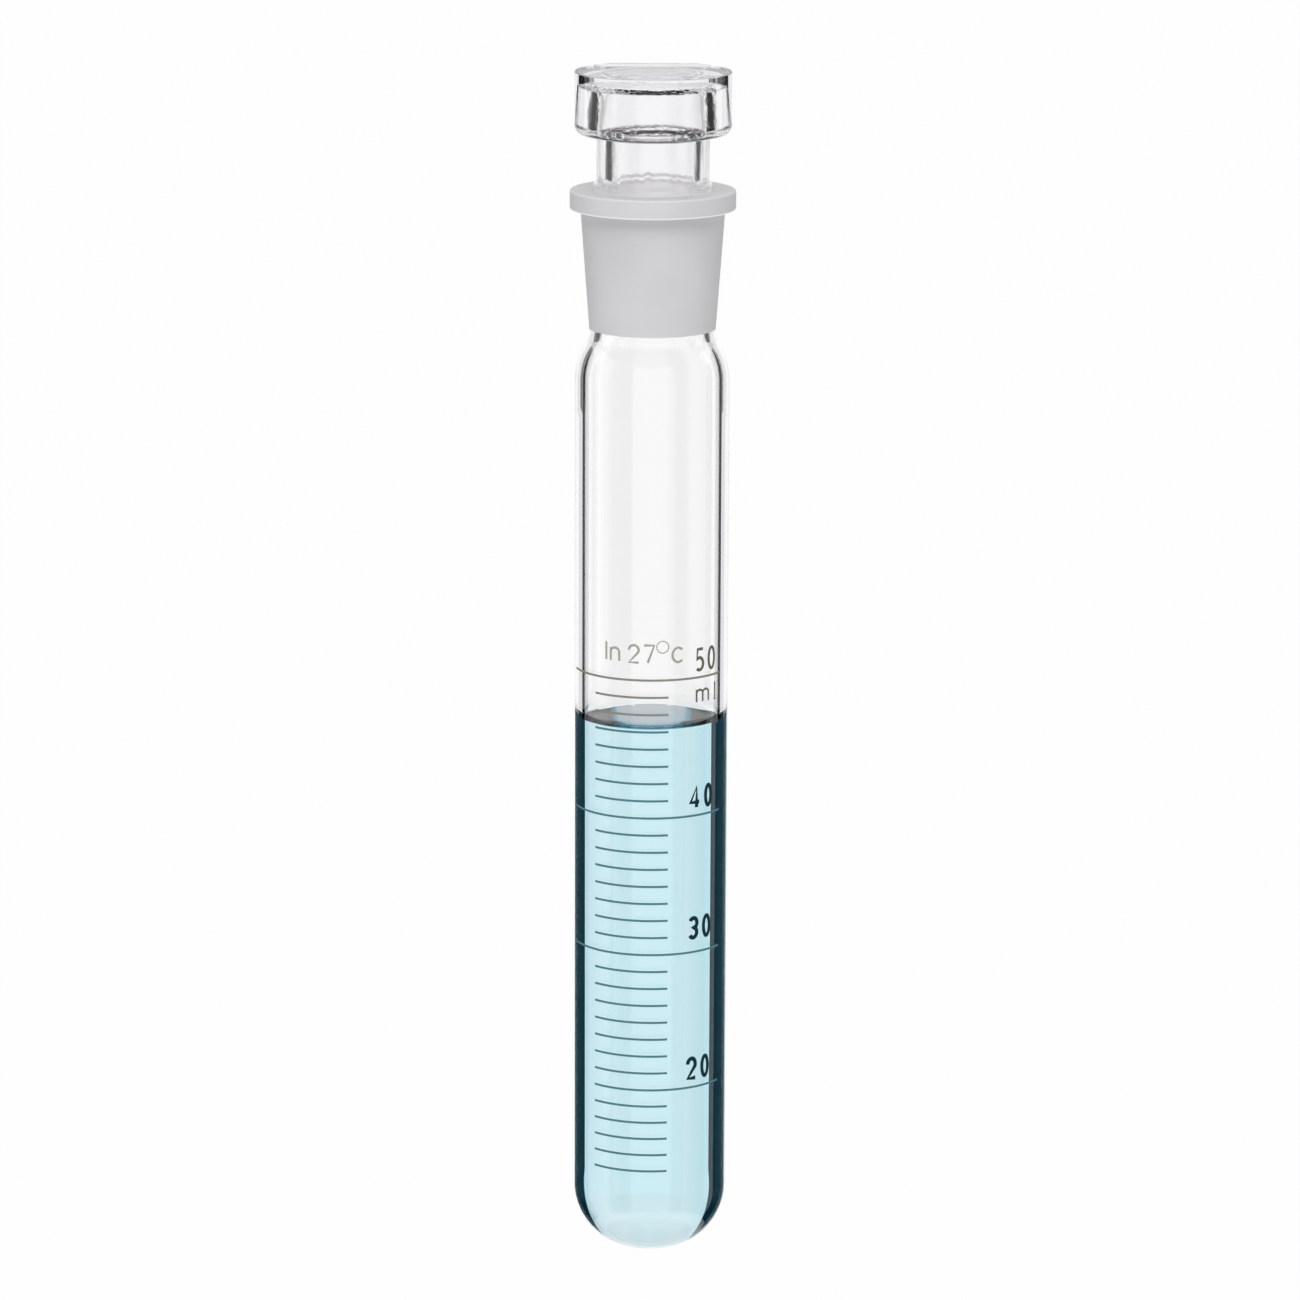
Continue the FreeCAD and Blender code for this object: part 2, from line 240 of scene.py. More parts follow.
# %% Draw the tube's outside, rim and bore, and spin it
section = HalfSection("glass_tube", 0, 0)
section.arc(crown_centre, meeting)
section.arc(knuckle_centre, (TUBE_RADIUS, WALL_START))
section.line(TUBE_RADIUS, SHOULDER_BASE)
low_centre, high_centre, meeting = shoulder_arcs(TUBE_RADIUS, NECK_RADIUS, SHOULDER_CURVE)
section.arc(low_centre, meeting)
section.arc(high_centre, (NECK_RADIUS, NECK_HEIGHT))
section.corners(
    (SOCKET_RADIUS, RIM_BASE, SOCKET_ROUND),
    (RIM_RADIUS, RIM_BASE, RIM_ROUND),
    (RIM_RADIUS, MOUTH, RIM_ROUND),
    (JOINT_RADIUS, MOUTH, MOUTH_ROUND),
    (BORE_END_RADIUS, NECK_HEIGHT, 0))
low_centre, high_centre, meeting = shoulder_arcs(BORE_RADIUS, BORE_END_RADIUS,
                                                 SHOULDER_CURVE - WALL)
section.arc(high_centre, meeting)
section.arc(low_centre, (BORE_RADIUS, SHOULDER_BASE))
section.line(BORE_RADIUS, WALL_START)
crown_centre, knuckle_centre, meeting = bottom_arcs(WALL)
section.arc(knuckle_centre, meeting)
section.arc(crown_centre, (0, WALL))
glass_tube = section.lathe()
report_piece(glass_tube)

# %% [markdown]
# ## The liquid
#
# Water wets glass, so its surface climbs at the wall in a small curve, the meniscus. The curve
# shows as a dark band under the flat surface, because light that meets it from below is turned
# back. Where two clear things touch, a renderer has to know which one light is in. The liquid is
# made a hair larger than the bore, so that light enters the liquid before it leaves the glass.
# The two bends then add up to exactly the one between glass and water. A gap would put air there,
# and faces in the same place would be met in a random order.

# %% Draw the liquid and spin it
OVERLAP = 0.04 * MM
surface_level = CONTACT_LINE - MENISCUS_RISE
meniscus_width = sqrt(2 * MENISCUS_CURVE * MENISCUS_RISE - MENISCUS_RISE ** 2)
flat_edge = BORE_RADIUS - meniscus_width

crown_centre, knuckle_centre, meeting = bottom_arcs(WALL - OVERLAP)
section = HalfSection("blue_liquid", 0, WALL - OVERLAP)
section.arc(crown_centre, meeting)
section.arc(knuckle_centre, (BORE_RADIUS + OVERLAP, WALL_START))
section.line(BORE_RADIUS + OVERLAP, CONTACT_LINE)
section.line(BORE_RADIUS, CONTACT_LINE)
section.arc((flat_edge, surface_level + MENISCUS_CURVE), (flat_edge, surface_level))
section.line(0, surface_level)
liquid = section.lathe()
report_piece(liquid)

# %% [markdown]
# ## The stopper
#
# The stopper was blown hollow and then pressed flat on top. Its plug and its stem are one tube
# that opens into a wide hollow in the head. The outside is smooth. The inside was never touched
# by a tool and stays uneven, and this bends the dark, streaky bands in its thick glass. The one
# just over the head's base is painted shade besides.
# The outer surface and the hollow are two closed shells. A Boolean could cut the hollow out of
# the head, but its fine ripples would make that slow and fragile. Here it is spun by itself,
# roughened with Displace modifiers, turned inside out so that its faces point away from the
# glass, and joined. Under the roof its corner is a slant, which throws light up through the
# flat top, where it is dark. That draws the streak under the roof.

# %% Name the stopper's sizes
PLUG_TOP = MOUTH + 1.0 * MM
HEAD_BASE = MOUTH + 10.0 * MM
PLUG_TIP_RADIUS = JOINT_RADIUS - (MOUTH - PLUG_TIP) / JOINT_TAPER / 2 - JOINT_GAP
PLUG_TOP_RADIUS = JOINT_RADIUS + (PLUG_TOP - MOUTH) / JOINT_TAPER / 2 - JOINT_GAP
STEM_RADIUS = HEAD_RADIUS - 3.95 * MM
STEM_HOLLOW = STEM_RADIUS - 2.65 * MM
STEM_FOOT = PLUG_TOP + 0.7 * MM
HOLLOW_TIP = PLUG_TIP + 2.4 * MM
HOLLOW_FLOOR = HEAD_BASE + 0.9 * MM
HOLLOW_ROOF = HEAD_TOP - 2.35 * MM
HOLLOW_BASE_RADIUS = HEAD_RADIUS - 4.5 * MM
HOLLOW_TOP_RADIUS = HEAD_RADIUS - 5.0 * MM
ROOF_SLANT = (1.3 * MM, 0.75 * MM)
SLANT_ZONE = (2.0 * MM, 1.1 * MM)
FOOT_ZONE = (MOUTH + 0.3 * MM, STEM_FOOT + 0.8 * MM)
PLUG_TIP_ROUND, PLUG_TOP_ROUND, STEM_FOOT_ROUND = 2.0 * MM, 0.3 * MM, 0.5 * MM
STEM_TOP_ROUND, HEAD_BASE_ROUND, HEAD_TOP_ROUND = 0.6 * MM, 1.7 * MM, 0.25 * MM
HOLLOW_TIP_ROUND, STEM_MOUTH_ROUND, HOLLOW_ROUND = 1.5 * MM, 0.8 * MM, 0.3 * MM
print(f"stem {STEM_RADIUS / MM:.2f} mm, its hollow {STEM_HOLLOW / MM:.2f} mm in radius")

# %% Spin the stopper's outside
section = HalfSection("glass_stopper", 0, PLUG_TIP)
section.corners(
    (PLUG_TIP_RADIUS, PLUG_TIP, PLUG_TIP_ROUND),
    (PLUG_TOP_RADIUS, PLUG_TOP, PLUG_TOP_ROUND),
    (STEM_RADIUS, STEM_FOOT, STEM_FOOT_ROUND),
    (STEM_RADIUS, HEAD_BASE, STEM_TOP_ROUND),
    (HEAD_RADIUS, HEAD_BASE, HEAD_BASE_ROUND),
    (HEAD_RADIUS, HEAD_TOP, HEAD_TOP_ROUND),
    (0, HEAD_TOP, 0))
glass_stopper = section.lathe()
report_piece(glass_stopper)

# %% Spin the hollow in short steps, so that it can be roughened
section = HalfSection("hollow", 0, HOLLOW_TIP)
section.corners(
    (STEM_HOLLOW, HOLLOW_TIP, HOLLOW_TIP_ROUND),
    (STEM_HOLLOW, HOLLOW_FLOOR, STEM_MOUTH_ROUND),
    (HOLLOW_BASE_RADIUS, HOLLOW_FLOOR, HOLLOW_ROUND),
    (HOLLOW_TOP_RADIUS, HOLLOW_ROOF - ROOF_SLANT[1], HOLLOW_ROUND),
    (HOLLOW_TOP_RADIUS - ROOF_SLANT[0], HOLLOW_ROOF, HOLLOW_ROUND),
    (0, HOLLOW_ROOF, 0), steps=14)
hollow = section.lathe()

# %% Roughen the hollow, and the stem's foot outside


def roughen(piece, name, grain, height, where):
    """Pushes the vertices that a test picks in and out by a cloud of the given grain."""
    group = piece.vertex_groups.new(name=name)
    group.add([vertex.index for vertex in piece.data.vertices if where(vertex.co)], 1, "REPLACE")
    cloud = bpy.data.textures.new(name, "CLOUDS")
    cloud.noise_scale = grain
    displace = piece.modifiers.new(name, "DISPLACE")
    displace.texture = cloud
    displace.strength = height
    displace.texture_coords = "LOCAL"
    displace.vertex_group = name
    bpy.context.view_layer.objects.active = piece
    bpy.ops.object.modifier_apply(modifier=name)


def everywhere(place):
    return True


def under_the_roof(place):
    """The slant between the hollow's wall and its roof."""
    inward, down = SLANT_ZONE
    return HOLLOW_ROOF - place.z < down and place.xy.length > HOLLOW_TOP_RADIUS - inward


def at_the_foot(place):
    """Where the stem comes out of the ground plug."""
    low, high = FOOT_ZONE
    return low < place.z < high


roughen(hollow, "blown_waves", 5 * MM, 0.1 * MM, everywhere)
roughen(hollow, "fine_ripples", 0.9 * MM, 0.05 * MM, everywhere)
roughen(hollow, "slant_ripples", 0.5 * MM, 0.2 * MM, under_the_roof)
roughen(glass_stopper, "foot_ripples", 1.2 * MM, 0.12 * MM, at_the_foot)

# %% Shift the hollow, as blown glass is never quite even, and turn it inside out
HOLLOW_SHIFT = 0.12 * MM
shift_height = HOLLOW_FLOOR - 0.5 * MM
for vertex in hollow.data.vertices:
    vertex.co.x += -HOLLOW_SHIFT if vertex.co.z > shift_height else HOLLOW_SHIFT
report_piece(hollow)

bpy.ops.object.select_all(action="DESELECT")
hollow.select_set(True)
bpy.context.view_layer.objects.active = hollow
bpy.ops.object.mode_set(mode="EDIT")
bpy.ops.mesh.select_all(action="SELECT")
bpy.ops.mesh.flip_normals()
bpy.ops.object.mode_set(mode="OBJECT")

# %% [markdown]
# ## Print: numerals drawn as strokes
#
# The numerals are fired enamel, narrow and with strokes of one width and round ends, as a
# lettering stencil gives them. A font would be quicker, but its shapes are wider and its strokes
# vary. Here each letter is a few strokes, drawn with the same tools as the half sections: a
# vertex is drawn out along lines and arcs. The strokes become a curve, get a round bevel and are
# pressed nearly flat. Then a formula wraps them on the wall.

# %% Describe the letters
# A stroke is a start (x, z) and its stops. A straight stop is (x, z). A round stop is a centre
# and a turn in degrees, (centre x, centre z, turn), positive anticlockwise. Letters are 1 high.
LETTERS = {
    "0": [[(1.0, 0.5), (0.5, 0.5, 180), (0.5, 0.5, 180)]],
    "2": [[(0.0, 0.72), (0.28, 0.72, -210), (0.0, 0.0), (0.56, 0.0)]],
    "3": [[(0.04, 0.86), (0.26, 0.75, -240), (0.2, 0.52)], [(0.2, 0.52), (0.24, 0.27, -250)]],
    "4": [[(0.42, 0.0), (0.42, 1.0), (0.0, 0.26), (0.6, 0.26)]],
    "5": [[(0.5, 1.0), (0.1, 1.0), (0.04, 0.52), (0.24, 0.31, -265)]],
    "7": [[(0.0, 1.0), (0.56, 1.0), (0.2, 0.0)]],
    "I": [[(0.0, 0.0), (0.0, 1.0)]],
    "l": [[(0.0, 0.0), (0.5, 0.03), (1.0, 0.0)], [(0.5, 0.03), (0.5, 1.0)]],
    "n": [[(0.0, 0.0), (0.0, 0.72)], [(0.0, 0.48), (0.24, 0.48, -180), (0.48, 0.0)]],
    "m": [[(0.0, 0.0), (0.0, 0.72)], [(0.0, 0.5), (0.2, 0.5, -180), (0.4, 0.0)],
          [(0.4, 0.5), (0.6, 0.5, -180), (0.8, 0.0)]],
    "C": [[(0.854, 0.854), (0.5, 0.5, 270)]],
    "o": [[(1.0, 0.5), (0.5, 0.5, 180), (0.5, 0.5, 180)]],
}

# %% Draw one letter
STROKE_TURN = radians(15)


def draw_letter(letter, width, height, stroke_width):
    """A letter on the XZ plane, its strokes pressed to a thin domed bead."""
    bpy.ops.object.select_all(action="DESELECT")
    bpy.ops.mesh.primitive_plane_add(size=MM)
    piece = bpy.context.object
    bpy.ops.object.mode_set(mode="EDIT")
    bpy.ops.mesh.delete(type="VERT")
    for start, *stops in LETTERS[letter]:
        bpy.ops.mesh.primitive_plane_add(size=MM)
        bpy.ops.mesh.merge(type="CENTER")
        here = Vector((start[0], 0, start[1]))
        bpy.ops.transform.translate(value=here)
        for stop in stops:
            if len(stop) == 2:
                end = Vector((stop[0], 0, stop[1]))
                bpy.ops.mesh.extrude_vertices_move(TRANSFORM_OT_translate={"value": end - here})
            else:
                centre = Vector((stop[0], 0, stop[1]))
                turn = radians(stop[2])
                bpy.ops.mesh.spin(steps=ceil(abs(turn) / STROKE_TURN), angle=turn,
                                  center=centre, axis=(0, 1, 0))
                end = centre + Matrix.Rotation(-turn, 3, "Y") @ (here - centre)
            here = end
    bpy.ops.mesh.select_all(action="SELECT")
    bpy.ops.mesh.remove_doubles(threshold=0.001)
    bpy.ops.object.mode_set(mode="OBJECT")

    corners = [vertex.co for vertex in piece.data.vertices]
    drawn_width = max(corner.x for corner in corners)
    across = (width - stroke_width) / drawn_width if drawn_width > 0 else 1
    up = height - stroke_width
    for corner in corners:
        corner.x *= across
        corner.z *= up

    bpy.ops.object.convert(target="CURVE")
    curve = bpy.context.object.data
    curve.dimensions = "3D"
    curve.bevel_depth = stroke_width / 2
    curve.bevel_resolution = 2
    curve.use_fill_caps = True
    bpy.ops.object.convert(target="MESH")
    return bpy.context.object


# %% [markdown]
# ## Words on a round wall
#
# The words are written from left to right. A word starts at its own angle on the wall, counted
# from the front, and sits on its own base line. Each letter is wrapped: its x becomes an arc on
# the wall, and its thickness becomes a small height over the glass. A Curve modifier would bend
# the letters too, but it also stretches them, and a formula keeps every stroke's width.

# %% Write a word on the wall
PRINT_RISE = 0.06 * MM
PRINT_SINK = 0.02 * MM


def write_word(name, letters, left, base, height, stroke_width, gap):
    """Letters with their widths, wrapped on the wall and joined into one piece."""
    pieces = []
    along = radians(left) * TUBE_RADIUS
    for letter, width in letters:
        piece = draw_letter(letter, width, height, stroke_width)
        for vertex in piece.data.vertices:
            x = along + stroke_width / 2 + vertex.co.x
            z = base + stroke_width / 2 + vertex.co.z
            proud = -vertex.co.y / (stroke_width / 2)
            radius = TUBE_RADIUS + (proud * PRINT_RISE if proud > 0 else proud * PRINT_SINK)
            angle = x / TUBE_RADIUS
            vertex.co = Vector((radius * sin(angle), -radius * cos(angle), z))
        pieces.append(piece)
        along += width + gap
    bpy.ops.object.select_all(action="DESELECT")
    for piece in pieces:
        piece.select_set(True)
    bpy.context.view_layer.objects.active = pieces[0]
    if len(pieces) > 1:
        bpy.ops.object.join()
    word = bpy.context.object
    word.name = name
    word.data.name = name
    bpy.ops.object.mode_set(mode="EDIT")
    bpy.ops.mesh.select_all(action="SELECT")
    bpy.ops.mesh.normals_make_consistent(inside=False)
    bpy.ops.object.mode_set(mode="OBJECT")
    bpy.ops.object.shade_smooth_by_angle(angle=radians(50))
    print(f"{name}: {len(word.data.polygons)} faces")
    return word


# %% Write the numerals beside their lines
NUMERAL_HEIGHT = 4.55 * MM
NUMERAL_STROKE = 0.8 * MM
FINE_STROKE = 0.62 * MM
NUMERAL_GAP = 0.8 * MM
print_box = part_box("long_lines")
LINE_20 = print_box[0].z + 0.2 * MM
LINE_50 = print_box[1].z - 0.2 * MM
TEN_ML = (LINE_50 - LINE_20) / 3

NUMERALS = [
    # name, digits and their widths, left edge in degrees, decade, height over the line, stroke
    ("numeral_20", [("2", 2.45 * MM), ("0", 2.3 * MM)], 28.2, 0, 1.3 * MM, NUMERAL_STROKE),
    ("numeral_30", [("3", 2.4 * MM), ("0", 2.3 * MM)], 29.3, 1, 2.25 * MM, NUMERAL_STROKE),
    ("numeral_40", [("4", 2.7 * MM), ("0", 2.2 * MM)], 29.5, 2, 1.1 * MM, NUMERAL_STROKE),
    ("numeral_50", [("5", 2.2 * MM), ("0", 2.2 * MM)], 34.4, 3, 0.95 * MM, FINE_STROKE),
]
numerals = [
    write_word(name, digits, left, LINE_20 + decade * TEN_ML + lift, NUMERAL_HEIGHT,
               stroke, NUMERAL_GAP)
    for name, digits, left, decade, lift, stroke in NUMERALS]

# %% Write the unit and the calibration note
unit = [
    write_word("unit_m", [("m", 3.3 * MM)], 35.2, 106.35 * MM, 3.6 * MM, 0.42 * MM, 0),
    write_word("unit_l", [("l", 0.9 * MM)], 53.6, 106.3 * MM, 3.6 * MM, 0.42 * MM, 0),
]
note = [
    write_word("note_In", [("I", 0.45 * MM), ("n", 2.2 * MM)], -36.4, 114.3 * MM, 3.75 * MM,
               0.45 * MM, 0.5 * MM),
    write_word("note_27", [("2", 2.25 * MM), ("7", 2.3 * MM)], -17.7, 114.2 * MM, 3.65 * MM,
               0.45 * MM, 0.55 * MM),
    write_word("note_C", [("C", 2.3 * MM)], 15.0, 114.2 * MM, 3.1 * MM, 0.45 * MM, 0),
]
degree_ring = write_word("note_degree", [("o", 2.4 * MM)], 3.6, 116.1 * MM, 2.4 * MM,
                         0.2 * MM, 0)

# %% [markdown]
# ## Shader maths written as expressions
#
# A material's masks are small sums. Wiring them by hand takes many Math nodes, so one class wraps
# a socket, and an expression on such values adds the nodes.

# %% A class that wraps a socket


class Value:
    """A number from a socket. Arithmetic on it adds Math nodes."""

    def __init__(self, graph, socket):
        self.graph = graph
        self.socket = socket

    def _sum(self, operation, first, second):
        return self.graph.node("ShaderNodeMath", {"operation": operation}, {0: first, 1: second})

    def __add__(self, other):
        return self._sum("ADD", self, other)

    def __sub__(self, other):
        return self._sum("SUBTRACT", self, other)

    def __rsub__(self, other):
        return self._sum("SUBTRACT", other, self)

    def __mul__(self, other):
        return self._sum("MULTIPLY", self, other)

    def at_least(self, other):
        return self._sum("MAXIMUM", self, other)

    def at_most(self, other):
        return self._sum("MINIMUM", self, other)

    __radd__ = __add__
    __rmul__ = __mul__


class Graph:
    """The nodes of one material or world."""

    def __init__(self, owner):
        owner.use_nodes = True
        self.tree = owner.node_tree
        self.tree.nodes.clear()

    def node(self, kind, settings=None, inputs=None, output=0):
        """Adds a node, sets it, fills or links its sockets and returns one output."""
        node = self.tree.nodes.new(kind)
        for name, setting in (settings or {}).items():
            setattr(node, name, setting)
        for name, given in (inputs or {}).items():
            if isinstance(given, Value):
                self.tree.links.new(given.socket, node.inputs[name])
            else:
                node.inputs[name].default_value = given
        return Value(self, node.outputs[output])

    def output(self, kind, **sockets):
        node = self.tree.nodes.new(kind)
        for name, given in sockets.items():
            self.tree.links.new(given.socket, node.inputs[name])


def new_material(name):
    material = bpy.data.materials.new(name)
    return material, Graph(material)


def srgb(red, green, blue):
    """A colour as a picture gives it, from 0 to 255, as the linear colour that a shader takes."""
    parts = [number / 255 for number in (red, green, blue)]
    return tuple(part / 12.92 if part < 0.04045 else ((part + 0.055) / 1.055) ** 2.4
                 for part in parts) + (1,)


# %% Masks by height
def height_on(graph):
    """The height on the piece. Object coordinates move with the piece, so its finish stays put."""
    place = graph.node("ShaderNodeTexCoord", output="Object")
    return graph.node("ShaderNodeSeparateXYZ", {}, {"Vector": place}, output="Z")


def above(height, level, edge):
    """0 under a level, 1 over it, with a soft edge of the given width."""
    return ((height - level) * (1 / edge) + 0.5).at_least(0.0).at_most(1.0)


def between(height, low, high, edge):
    """1 between two levels, 0 outside, with soft edges."""
    return above(height, low, edge) * (1 - above(height, high, edge))


# %% [markdown]
# ## Clear glass and frost
#
# Borosilicate glass has a refractive index of 1.47. Clear glass is almost invisible: what one sees
# is how it bends its surroundings. The socket and the plug are ground with abrasive, which breaks
# the surface into tiny facets. They scatter the light, so the ground glass looks matt and white.
# Rough transmission is the true model, but it renders slowly and stays noisy. A matt surface
# with a fine grain looks the same at this size. The two finishes are two shaders, and a mask by
# height mixes them. The frost's edge is where the grinding stopped. The plug's frost has a painted
# glow, an emission that stands in for the light the clear glass passes to it, and a painted
# highlight, an emission line, lights the corner under the rim.

# %% Make the two finishes of glass
GLASS_INDEX = 1.47
FROST_EDGE = 0.12 * MM
FROST_GRAIN, FROST_CLOUD = 900.0, 90.0
FROST_PALE = srgb(216, 215, 217)
RIM_HIGHLIGHT_LOW, RIM_HIGHLIGHT_HIGH, RIM_HIGHLIGHT_EDGE = RIM_BASE - 0.1 * MM, RIM_BASE + 0.3 * MM, 0.1 * MM
STOPPER_TINT = (0.985, 0.98, 0.99, 1)


def clear_glass_shader(graph, colour, **extra):
    return graph.node("ShaderNodeBsdfPrincipled", {}, {
        "Base Color": colour, "Roughness": 0.0, "IOR": GLASS_INDEX,
        "Transmission Weight": 1.0, **extra})


def frost_shader(graph, colour, painted_glow, painted_rim_highlight):
    """Ground glass: white, matt, and finely grained. Its painted glow is emission that stands in for
    light coming through it, and a painted highlight lights the rim's base.
    """
    place = graph.node("ShaderNodeTexCoord", output="Object")
    grain = graph.node("ShaderNodeTexNoise", {}, {"Vector": place, "Scale": FROST_GRAIN,
                                                  "Detail": 2.0})
    cloud = graph.node("ShaderNodeTexNoise", {}, {"Vector": place, "Scale": FROST_CLOUD,
                                                  "Detail": 1.0})
    tone = graph.node("ShaderNodeMix", {"data_type": "RGBA"},
                      {"Factor": cloud, "A": colour, "B": FROST_PALE}, output=2)
    # Painted highlight: an emission band at the rim's base stands in for a line of light caught there.
    line = between(height_on(graph), RIM_HIGHLIGHT_LOW, RIM_HIGHLIGHT_HIGH, RIM_HIGHLIGHT_EDGE)
    painted_emission = graph.node("ShaderNodeMix", {"data_type": "RGBA"}, {
        "Factor": line, "A": (painted_glow,) * 3 + (1,), "B": (painted_glow + painted_rim_highlight,) * 3 + (1,)}, output=2)
    bump = graph.node("ShaderNodeBump", {}, {"Strength": 0.25, "Distance": 0.02 * MM,
                                             "Height": grain})
    return graph.node("ShaderNodeBsdfPrincipled", {}, {
        "Base Color": tone, "Roughness": 0.6, "Specular IOR Level": 0.3, "Normal": bump,
        "Emission Color": painted_emission, "Emission Strength": 1.0})


def ground_glass(name, edge_height, frosted_above, frost_colour, painted_glow, painted_rim_highlight, tint):
    """Clear glass with frost on one side of a height."""
    material, graph = new_material(name)
    mask = above(height_on(graph), edge_height, FROST_EDGE)
    if not frosted_above:
        mask = 1 - mask
    clear = clear_glass_shader(graph, tint)
    frost = frost_shader(graph, frost_colour, painted_glow, painted_rim_highlight)
    mixed = graph.node("ShaderNodeMixShader", {}, {"Fac": mask, 1: clear, 2: frost})
    graph.output("ShaderNodeOutputMaterial", Surface=mixed)
    return material


# %% Make the tube's glass and the stopper's
# The tube's frost has a painted highlight at the rim's base. The plug's darker frost has a painted
# glow of 0.4 instead.
tube_glass = ground_glass("tube_glass", NECK_HEIGHT, True, srgb(204, 203, 205), 0.0, 0.3,
                          (1, 1, 1, 1))
stopper_glass = ground_glass("stopper_glass", MOUTH, False, srgb(100, 99, 101), 0.4, 0.0,
                             STOPPER_TINT)
glass_tube.data.materials.append(tube_glass)
glass_stopper.data.materials.append(stopper_glass)

# %% [markdown]
# ## The glass inside the stopper
#
# The inside of the hollow has a skin of ripples that are too fine to model, so a bump gives them.
# Where its wall meets its floor, a dark streak shows just over the head's base, where the ripples
# bend dark surroundings in. Grooves could be modelled for that, but it would take hundreds. Here
# it is painted shade: a noise that is squeezed in height, so that it runs round the wall, tints
# the glass dark in a narrow band on the front. The band sinks to the sides.

# %% Make the hollow's glass
RIPPLE_SCALE, RIPPLE_DEPTH = 3200.0, 0.04 * MM
# The streak and band sizes below paint shade: a dark tint in a band over the hollow's floor, on the
# front.
STREAK_NOISE_SCALE, STREAK_SQUEEZE = 1300.0, (1.0, 1.0, 5.0)
STREAK_LEVEL, STREAK_CONTRAST = 0.37, 9.0
PAINTED_SHADE_COLOUR = (0.02, 0.018, 0.02, 1)
SHADE_BAND_SLOPE = 0.12
SHADE_BAND_LOW, SHADE_BAND_HIGH = HOLLOW_FLOOR - 0.7 * MM, HOLLOW_FLOOR + 0.15 * MM
SHADE_BAND_FOOT, SHADE_BAND_LIMIT = HOLLOW_FLOOR + 0.2 * MM, HOLLOW_FLOOR + 3 * MM

hollow_glass, graph = new_material("hollow_glass")
place = graph.node("ShaderNodeTexCoord", output="Object")
depth = graph.node("ShaderNodeSeparateXYZ", {}, {"Vector": place}, output="Y")
height = height_on(graph)
noise = graph.node("ShaderNodeTexNoise", {}, {"Vector": place, "Scale": RIPPLE_SCALE,
                                              "Detail": 2.0})
ripple = graph.node("ShaderNodeBump", {}, {"Strength": 0.4, "Distance": RIPPLE_DEPTH,
                                           "Height": noise})
squeezed = graph.node("ShaderNodeVectorMath", {"operation": "MULTIPLY"},
                      {0: place, 1: STREAK_SQUEEZE})
streak_noise = graph.node("ShaderNodeTexNoise", {}, {"Vector": squeezed, "Scale": STREAK_NOISE_SCALE,
                                                "Detail": 4.0})
painted_streaks = ((streak_noise - STREAK_LEVEL) * STREAK_CONTRAST).at_least(0.0).at_most(1.0)
front = 1 - above(depth, -2.25 * MM, 1.5 * MM)
shade_band = (between(height + depth * SHADE_BAND_SLOPE, SHADE_BAND_LOW, SHADE_BAND_HIGH, 0.25 * MM)
        * between(height, SHADE_BAND_FOOT, SHADE_BAND_LIMIT, 0.15 * MM))
# Painted shade: the streaks turn the glass's tint near black in the band, on the front only.
tone = graph.node("ShaderNodeMix", {"data_type": "RGBA"}, {
    "Factor": shade_band * front * painted_streaks, "A": STOPPER_TINT, "B": PAINTED_SHADE_COLOUR}, output=2)
clear = clear_glass_shader(graph, tone, Normal=ripple)
graph.output("ShaderNodeOutputMaterial", Surface=clear)
hollow.data.materials.append(hollow_glass)

# %% Join the hollow to the stopper, which keeps both materials
bpy.ops.object.select_all(action="DESELECT")
hollow.select_set(True)
glass_stopper.select_set(True)
bpy.context.view_layer.objects.active = glass_stopper
bpy.ops.object.join()
report_piece(glass_stopper)

# %% [markdown]
# ## Coloured liquid
#
# A clear liquid has no surface colour. Its colour comes from depth: red light is taken up most,
# so the middle is pale blue and the rim, which bends light along a long path, turns deep teal.
# An absorbing volume does this. The index is water's, 1.33.

# %% Make the liquid
WATER_INDEX = 1.33
WATER_COLOUR = (0.0, 0.785, 0.935, 1)
WATER_DENSITY = 17.0

material, graph = new_material("blue_water")
surface = graph.node("ShaderNodeBsdfPrincipled", {}, {
    "Base Color": (1, 1, 1, 1), "Roughness": 0.0, "IOR": WATER_INDEX, "Transmission Weight": 1.0})
depth = graph.node("ShaderNodeVolumeAbsorption", {}, {"Color": WATER_COLOUR,
                                                      "Density": WATER_DENSITY})
graph.output("ShaderNodeOutputMaterial", Surface=surface, Volume=depth)
liquid.data.materials.append(material)

# %% [markdown]
# ## Enamel print
#
# The enamel is thin and dark. Over the pale liquid it reads as deep teal, and over the empty
# glass as a warm grey, because a little light comes through it. That light is painted into the
# enamel's colour, whose tint changes at the height of the liquid's surface. The calibration note
# is printed fainter.

# %% Make the enamel and the fainter note
WEAR_SCALE, WEAR_SHARE, WEAR_TONE = 700.0, 0.35, (0.6, 0.6, 0.6, 1)


def enamel(name, under, over):
    """Enamel with one colour under the liquid's surface and one over it, a little worn. The two
    colours are painted light, what comes through the enamel from behind.
    """
    material, graph = new_material(name)
    place = graph.node("ShaderNodeTexCoord", output="Object")
    wear = graph.node("ShaderNodeTexNoise", {}, {"Vector": place, "Scale": WEAR_SCALE,
                                                 "Detail": 2.0})
    # Painted light: under the liquid's surface the colour stands for light through the blue liquid,
    # over it for light through empty glass.
    base = graph.node("ShaderNodeMix", {"data_type": "RGBA"}, {
        "Factor": above(height_on(graph), CONTACT_LINE, MM), "A": under, "B": over}, output=2)
    tone = graph.node("ShaderNodeMix", {"data_type": "RGBA", "blend_type": "MULTIPLY"},
                      {"Factor": wear * WEAR_SHARE, "A": base, "B": WEAR_TONE}, output=2)
    shader = graph.node("ShaderNodeBsdfPrincipled", {}, {
        "Base Color": tone, "Roughness": 0.55, "Specular IOR Level": 0.15})
    graph.output("ShaderNodeOutputMaterial", Surface=shader)
    return material


